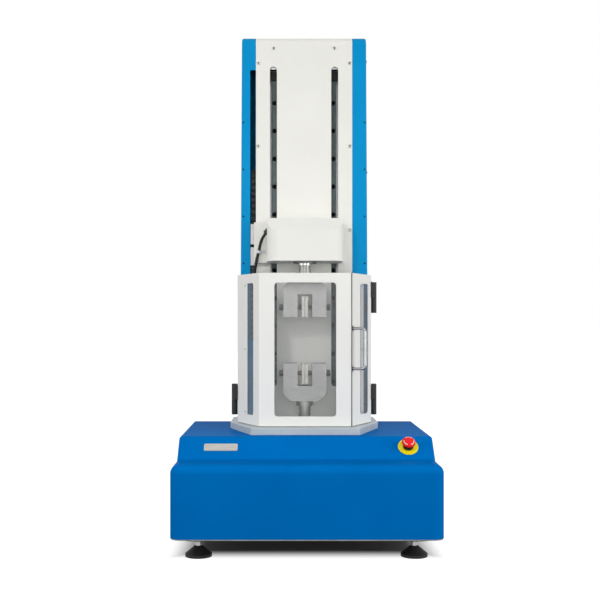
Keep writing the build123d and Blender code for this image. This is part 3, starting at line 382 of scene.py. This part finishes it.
plug_x = 0.1905
plug_first = 0.398
plug_pitch = 0.1477
plug_count = 7
plug_radius = 0.0027


def build_plugs(shape):
    for x in (-plug_x, plug_x):
        for i in range(plug_count):
            matrix = frame_at((x, column_front, plug_first + plug_pitch * i), (0, -1, 0))
            add_disc(shape, matrix, plug_radius, -0.0002, 0.0003, 16)


mesh_object("strip_plugs", build_plugs, black_and_hole_shade, "frame")

side_slope = 0.0054
side_foot = 0.345
side_screws = [(0.2010 - side_slope * (z - side_foot), 0.1285, z) for z in (1.480, 1.130, 0.780)]
screws("side_screws", side_screws, (1, 0, side_slope), 0.0045, 0.0036, looks["dark_steel"], "frame")

rail_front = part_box("guide_rails")[0][1]
rail_x = 0.093
bolt_depth = 0.008
bolt_first = 0.4667
bolt_pitch = 0.0886
bolt_levels = [bolt_first + bolt_pitch * i for i in range(12)]
rail_bolts = [(x, rail_front + bolt_depth, z) for x in (-rail_x, rail_x) for z in bolt_levels]
screws("rail_bolts", rail_bolts, (0, -1, 0), 0.0070, 0.0072, black_and_hole_shade, "frame", 0.5)


def build_end_stops(shape):
    for x in (-rail_x, rail_x):
        low = (x - 0.014, rail_front - 0.010, 1.4235)
        high = (x + 0.014, rail_front - 0.0002, 1.449)
        add_box(shape, Matrix(), low, high)


def build_head_plates(shape):
    for x in (-0.0965, 0.0965):
        low = (x - 0.017, column_front + 0.009, 1.4535)
        high = (x + 0.017, column_front + 0.011, 1.478)
        add_box(shape, Matrix(), low, high)


mesh_object("rail_end_stops", build_end_stops, looks["rubber"], "frame", bevel=0.0015)
mesh_object("head_plates", build_head_plates, looks["aluminium"], "frame", bevel=0.0003)


# Rear of the column: louvres over the drive side and the screws of the cover
rear_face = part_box("rear_cover")[1][1]


# The louvres are flat black strips on the rear face: painted shade of their openings
def build_louvres(shape):
    for centre in (0.62, 1.28):
        for i in range(12):
            matrix = frame_at((0, rear_face, centre + 0.012 * (i - 5.5)), (0, 1, 0))
            add_plate(shape, matrix, 0.13, 0.0045, 0.0022, -0.0002, 0.0004)


mesh_object("rear_louvres", build_louvres, black_and_hole_shade, "frame")
rear_screws = [(x, rear_face, z) for x in (-0.178, 0.178) for z in (0.40, 0.78, 1.16, 1.50)]
screws("rear_screws", rear_screws, (0, 1, 0), 0.0045, 0.0022, screw_zinc, "frame")


# Base: the badge on the riser and the power inlet in the rear wall
joint_rows = {row["name"]: row for row in frame["record"]["behaviour"]["joints"]}
stop_joint = joint_rows["stop_twist"]
stop_point = Vector(stop_joint["pos_m"])
riser_normal = Vector(stop_joint["axis"])
riser_up = Vector((0, riser_normal.z, -riser_normal.y))
badge_place = Vector((-0.2434, stop_point.y, stop_point.z)) - 0.0016 * riser_up


def build_badge(shape):
    matrix = frame_at(badge_place, riser_normal)
    add_plate(shape, matrix, 0.096, 0.026, 0.004, -0.0002, 0.0010)
    add_plate(shape, matrix, 0.092, 0.022, 0.003, 0.0010, 0.0013)


mesh_object("badge", build_badge, badge_silver, "frame", bevel=0.0002)

base_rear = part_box("base_shell")[1][1]
inlet_frame = frame_at((0.230, base_rear, 0.130), (0, 1, 0))


def build_inlet(shape):
    add_plate(shape, inlet_frame, 0.0490, 0.0270, 0.003, -0.022, -0.018)
    for x in (-0.0225, 0.0225):
        add_box(shape, inlet_frame, (x - 0.0018, -0.0135, -0.022), (x + 0.0018, 0.0135, -0.0004))
    for y in (-0.0115, 0.0115):
        add_box(shape, inlet_frame, (-0.0207, y - 0.0018, -0.022), (0.0207, y + 0.0018, -0.0004))


def build_contacts(shape):
    for x, y in ((-0.007, -0.002), (0.0, 0.003), (0.007, -0.002)):
        add_box(shape, inlet_frame, (x - 0.001, y - 0.002, -0.019), (x + 0.001, y + 0.002, -0.006))


mesh_object("power_inlet", build_inlet, looks["black_plastic"], "frame", bevel=0.0004)
mesh_object("inlet_contacts", build_contacts, looks["bright_steel"], "frame")


# Emergency stop: a mushroom head with three turning marks
cap_profile = [
    (0.0, 0.0216), (0.0061, 0.0216), (0.0061, 0.0136), (0.0130, 0.0136), (0.0136, 0.0168),
    (0.0184, 0.0182), (0.0194, 0.0196), (0.0194, 0.0212), (0.0182, 0.0238), (0.0158, 0.0259),
    (0.0120, 0.0275), (0.0070, 0.0283), (0.0, 0.0285),
]
stop_frame = frame_at(stop_point, riser_normal)


def build_cap(shape):
    add_lathe(shape, stop_frame, cap_profile[::-1])


def build_marks(shape):
    for part in range(3):
        rows = []
        for i in range(13):
            angle = math.radians(120 * part + 50 + 80 * i / 12)
            around = Vector((math.cos(angle), math.sin(angle), 0))
            rows.append((
                shape.verts.new(stop_frame @ (around * 0.0150 + Vector((0, 0, 0.02650)))),
                shape.verts.new(stop_frame @ (around * 0.0133 + Vector((0, 0, 0.02725)))),
            ))
        for (outer, inner), (next_outer, next_inner) in zip(rows, rows[1:]):
            shape.faces.new((outer, next_outer, next_inner, inner))


cap = mesh_object("stop_cap", build_cap, looks["red_plastic"], "stop_button")
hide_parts("estop_button")
mesh_object("stop_marks", build_marks, mark_white, "stop_button")


# Guard: beads in front of the wings' panes, with their screws
guard_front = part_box("left_door_panel")[0][1]
guard_half_front = 0.137
guard_half_rear = 0.207
wing_depth = 0.138
wing_length = math.hypot(guard_half_rear - guard_half_front, wing_depth)
wing_along = (guard_half_rear - guard_half_front) / wing_length, wing_depth / wing_length


def wing_frame(side, along):
    """A matrix on the outer face of a wing: Y is up and Z points out of the guard."""
    x = side * (guard_half_front + along * wing_along[0])
    y = guard_front + along * wing_along[1]
    return frame_at((x, y, 0), (side * wing_along[1], -wing_along[0], 0))


def pane_strip(name, side, start, width, look, body):
    """An upright bead in front of a pane, and the three screws through it."""
    matrix = wing_frame(side, start + width / 2)

    def strip(shape):
        add_box(shape, matrix, (-width / 2, 0.3763, -0.0024), (width / 2, 0.7727, -0.0004))

    def heads(shape):
        for z in (0.383, 0.573, 0.766):
            add_disc(shape, matrix @ Matrix.Translation((0, z, 0)), 0.0024, -0.0006, -0.0002, 16)

    mesh_object(name, strip, look, body, bevel=0.0004)
    mesh_object(name + "_screws", heads, black_and_hole_shade, body)


pane_strip("left_pane_strip", -1, 0.0865, 0.0262, guard_paint, "left_door")
# The right bead is guard paint darkened to grey: painted shade
pane_strip("right_pane_strip", 1, 0.0735, 0.0210, bead_painted_shade, "right_door")

# Seal in the seam between the two leaves
leaf_low, leaf_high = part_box("right_door_panel")
seal_left = 0.1364
seal_right = 0.1392


def build_seal(shape):
    low = (seal_left, guard_front - 0.0003, leaf_low[2])
    high = (seal_right, guard_front + 0.0012, leaf_high[2])
    add_box(shape, Matrix(), low, high)


mesh_object("leaf_seal", build_seal, seal_black, "left_door")

# Flange and sleeve of the stem under the hood. The flange is a real part; its dark steel also paints the
# shade in the hood's underside opening
stem_low, stem_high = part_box("upper_stem")
stem_axis = ((stem_low[0] + stem_high[0]) / 2, (stem_low[1] + stem_high[1]) / 2, 0)
hood_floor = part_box("crosshead_cover")[0][2]
ring_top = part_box("upper_lock_ring")[1][2]
flange_floor = hood_floor - 0.0045
fit_gap = 0.0003


def build_flange(shape):
    add_disc(shape, Matrix.Translation(stem_axis), 0.036, flange_floor, hood_floor - fit_gap, 64)


def build_sleeve(shape):
    add_disc(shape, Matrix.Translation(stem_axis), 0.0172, ring_top + fit_gap, flange_floor, 64)


mesh_object("stem_flange", build_flange, looks["dark_steel"], "crosshead", bevel=0.0004)
mesh_object("stem_sleeve", build_sleeve, stem_steel, "crosshead", bevel=0.0004)

# Cable of the load cell
cable_route = [
    (-0.1106, 0.0462, 0.9402),
    (-0.1270, 0.0540, 0.9220),
    (-0.1360, 0.0665, 0.9010),
    (-0.1410, 0.0770, 0.8780),
    (-0.1470, 0.0775, 0.8560),
    (-0.1510, 0.0785, 0.8340),
    (-0.1540, 0.0860, 0.8130),
    (-0.1570, 0.0980, 0.7950),
    (-0.1600, 0.1130, 0.7790),
    (-0.1620, 0.1250, 0.7640),
]
cable_curve = bpy.data.curves.new("load_cell_cable", "CURVE")
cable_curve.dimensions = "3D"
cable_curve.bevel_depth = 0.0045
cable_curve.bevel_resolution = 6
cable_curve.use_fill_caps = True
spline = cable_curve.splines.new("NURBS")
spline.points.add(len(cable_route) - 1)
for point, place in zip(spline.points, cable_route):
    point.co = (*place, 1)
spline.order_u = 3
spline.use_endpoint_u = True
spline.resolution_u = 8
cable_curve.materials.append(looks["rubber"])
cable = bpy.data.objects.new("load_cell_cable", cable_curve)
bpy.context.scene.collection.objects.link(cable)
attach(cable, "crosshead")
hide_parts("sensor_cable")


# Stage: a pale floor, a white surround and soft lights
def seen_directly(tree):
    """1 for rays that come from the camera, off metal or through glass, and 0 for all others."""
    path = tree.nodes.new("ShaderNodeLightPath")
    total = path.outputs["Is Camera Ray"]
    for name in ("Is Glossy Ray", "Is Transmission Ray"):
        larger = tree.nodes.new("ShaderNodeMath")
        larger.operation = "MAXIMUM"
        tree.links.new(total, larger.inputs[0])
        tree.links.new(path.outputs[name], larger.inputs[1])
        total = larger.outputs[0]
    return total


def beyond(tree, value, limit):
    """How far a coordinate lies outside plus or minus a limit."""
    size = tree.nodes.new("ShaderNodeMath")
    size.operation = "ABSOLUTE"
    less = tree.nodes.new("ShaderNodeMath")
    less.operation = "SUBTRACT"
    less.inputs[1].default_value = limit
    tree.links.new(value, size.inputs[0])
    tree.links.new(size.outputs[0], less.inputs[0])
    return less.outputs[0]


def white_floor():
    """A floor that glows white to direct rays away from the machine; in a rectangle around the machine the
    glow fades out, which paints a shade zone there on top of the floor's real shadow.
    """
    material = surface("floor", (0.15, 0.15, 0.15), (0.17, 0.17, 0.17), (0.75, 0.9), scale=2, fine=30,
                       strength=0.02, specular=0.1)
    tree = material.node_tree
    place = tree.nodes.new("ShaderNodeTexCoord")
    parts = tree.nodes.new("ShaderNodeSeparateXYZ")
    tree.links.new(place.outputs["Object"], parts.inputs["Vector"])
    outside = tree.nodes.new("ShaderNodeMath")
    outside.operation = "MAXIMUM"
    tree.links.new(beyond(tree, parts.outputs["X"], floor_shade_x), outside.inputs[0])
    tree.links.new(beyond(tree, parts.outputs["Y"], floor_shade_y), outside.inputs[1])
    fade = tree.nodes.new("ShaderNodeMapRange")
    fade.inputs["From Max"].default_value = floor_shade_fade
    fade.interpolation_type = "SMOOTHSTEP"
    tree.links.new(outside.outputs[0], fade.inputs["Value"])
    strength = tree.nodes.new("ShaderNodeMath")
    strength.operation = "MULTIPLY"
    tree.links.new(fade.outputs["Result"], strength.inputs[0])
    tree.links.new(seen_directly(tree), strength.inputs[1])
    glow = tree.nodes.new("ShaderNodeEmission")
    tree.links.new(strength.outputs[0], glow.inputs["Strength"])
    both = tree.nodes.new("ShaderNodeAddShader")
    tree.links.new(tree.nodes["Principled BSDF"].outputs["BSDF"], both.inputs[0])
    tree.links.new(glow.outputs["Emission"], both.inputs[1])
    tree.links.new(both.outputs["Shader"], tree.nodes["Material Output"].inputs["Surface"])
    return material


def build_floor(shape):
    corners = [shape.verts.new(corner) for corner in ((-14, -8, 0), (14, -8, 0), (14, 20, 0), (-14, 20, 0))]
    shape.faces.new(corners)


# Half sizes and fade of the rectangle where the floor's glow fades out: painted shade around the machine
floor_shade_x = 0.29
floor_shade_y = 0.150
floor_shade_fade = 0.12
floor_mesh = bpy.data.meshes.new("floor")
floor_shape = bmesh.new()
build_floor(floor_shape)
floor_shape.to_mesh(floor_mesh)
floor_shape.free()
floor = bpy.data.objects.new("floor", floor_mesh)
floor_mesh.materials.append(white_floor())
bpy.context.scene.collection.objects.link(floor)

world = bpy.data.worlds.new("surround")
bpy.context.scene.world = world
world.use_nodes = True
tree = world.node_tree
background = tree.nodes["Background"]
background.inputs["Color"].default_value = (1, 1, 1, 1)
background.inputs["Strength"].default_value = 0.455
seen = tree.nodes.new("ShaderNodeBackground")
seen.inputs["Color"].default_value = (1, 1, 1, 1)
seen.inputs["Strength"].default_value = 1.0
mix = tree.nodes.new("ShaderNodeMixShader")
tree.links.new(seen_directly(tree), mix.inputs["Fac"])
tree.links.new(background.outputs["Background"], mix.inputs[1])
tree.links.new(seen.outputs["Background"], mix.inputs[2])
tree.links.new(mix.outputs["Shader"], tree.nodes["World Output"].inputs["Surface"])


def soft_light(name, place, target, width, height, power):
    light = bpy.data.lights.new(name, "AREA")
    light.shape = "RECTANGLE"
    light.size = width
    light.size_y = height
    light.energy = power
    lamp = bpy.data.objects.new(name, light)
    lamp.location = place
    lamp.rotation_euler = (Vector(target) - Vector(place)).to_track_quat("-Z", "Y").to_euler()
    bpy.context.scene.collection.objects.link(lamp)


soft_light("key", (-0.62, -1.85, 1.50), (0, 0, 0.75), 0.22, 0.22, 7.5)
soft_light("front", (0.15, -3.20, 0.85), (0, 0, 0.7), 1.4, 1.0, 15.5)
soft_light("left", (-2.20, -1.20, 0.90), (0, 0, 0.7), 1.2, 1.6, 19)
soft_light("right", (2.20, -1.20, 0.90), (0, 0, 0.7), 1.2, 1.6, 30)
soft_light("top", (0.0, -0.8, 3.4), (0, -0.2, 0.4), 3.0, 2.4, 12)

camera_data = bpy.data.cameras.new("camera")
photo_width = 600
focal_length = 963
sensor_width = 36.0
camera_data.sensor_width = sensor_width
camera_data.lens = sensor_width * focal_length / photo_width
camera_data.shift_x = 15 / photo_width
camera_data.shift_y = 25 / photo_width
camera = bpy.data.objects.new("camera", camera_data)
camera.location = (-0.060, -2.920, 0.647)
camera.rotation_euler = (math.radians(90), 0, 0)
bpy.context.scene.collection.objects.link(camera)
bpy.context.scene.camera = camera
bpy.context.scene.view_settings.view_transform = "Standard"
